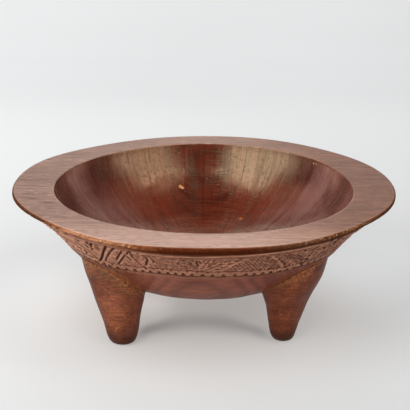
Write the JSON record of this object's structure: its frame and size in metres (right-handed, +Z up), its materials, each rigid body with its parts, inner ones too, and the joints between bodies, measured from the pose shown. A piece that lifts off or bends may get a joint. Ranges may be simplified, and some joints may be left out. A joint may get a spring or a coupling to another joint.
{
  "type": "kava bowl",
  "caption": "Shallow round wooden bowl with a broad flat rim, a carved band under the rim and tapered legs with coped heads, for mixing and serving drinks.",
  "frame": {"origin": "on the floor, under the middle of the rim's bounding box", "axes": "+Z up out of the bowl's mouth, -Y towards the side that is seen from the front, +X to the right seen from there, along the rim's widest way"},
  "size_m": [0.4052, 0.3928, 0.142],
  "materials": {
    "bowl_wood": "red-brown hardwood, satin worn rim, deep varnish inside, dry oiled carving",
    "leg_wood": "orange-brown hardwood, thin satin finish, darker at the foot",
    "tenon_wood": "bare, planed"
  },
  "bodies": {
    "root": {"bowl_body": "bowl_wood", "leg_front_left": "leg_wood", "leg_front_right": "leg_wood", "leg_rear_left": "leg_wood", "leg_rear_right": "leg_wood", "tenon_front_left": "tenon_wood", "tenon_front_right": "tenon_wood", "tenon_rear_left": "tenon_wood", "tenon_rear_right": "tenon_wood"}
  },
  "joints": []
}
